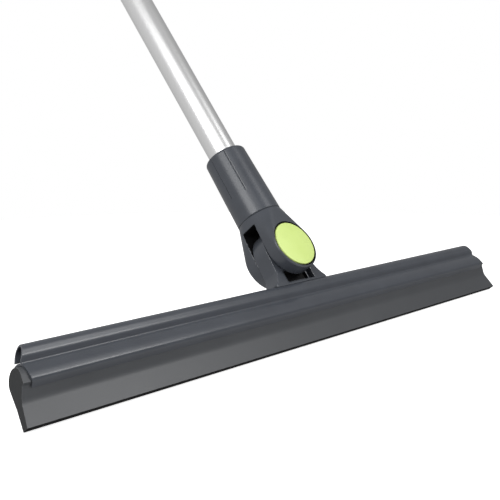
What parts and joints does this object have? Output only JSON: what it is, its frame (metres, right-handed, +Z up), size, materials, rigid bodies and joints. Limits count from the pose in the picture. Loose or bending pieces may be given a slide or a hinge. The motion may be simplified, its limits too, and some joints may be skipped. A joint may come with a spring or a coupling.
{
  "type": "floor squeegee",
  "caption": "Floor squeegee: a wide rubber blade in a hooked carrier rail swivels on a covered hinge at the foot of a long tube handle with a grip and a hanging eye.",
  "frame": {"origin": "on the floor, at the middle of the blade's wiping edge", "axes": "+Z up, +X along the blade to the right as seen from the front, front towards -Y; the handle leans back towards +Y"},
  "size_m": [0.55, 0.8752, 1.0906],
  "materials": {
    "slate_plastic": "moulded satin",
    "blade_rubber": "extruded, dull",
    "lime_plastic": "moulded, half gloss",
    "tube_aluminium": "drawn and anodised, satin",
    "zinc_steel": "zinc plated",
    "nylon": "natural, waxy",
    "grip_rubber": "soft, matte"
  },
  "bodies": {
    "handle": {"swivel_fork": "slate_plastic", "hinge_bolt": "zinc_steel", "front_thrust_washer": "nylon", "rear_thrust_washer": "nylon", "spring_washer": "zinc_steel", "lock_nut": "zinc_steel", "front_cap": "lime_plastic", "rear_cap": "lime_plastic", "handle_sleeve": "slate_plastic", "tube_screw": "zinc_steel", "handle_tube": "tube_aluminium", "hand_grip": "grip_rubber", "grip_collar": "lime_plastic", "hanger_cap": "slate_plastic"},
    "head": {"carrier_rail": "slate_plastic", "squeegee_blade": "blade_rubber", "hinge_bracket": "slate_plastic", "clamp_bar": "zinc_steel", "bracket_screws": "zinc_steel", "pivot_bush": "nylon"}
  },
  "joints": [
    {"name": "head_swivel", "type": "hinge", "parent": "handle", "child": "head", "pos_m": [0, 0.04551, 0.06201], "axis": [0, -0.7804, 0.6252], "range_deg": [-90, 90]}
  ]
}
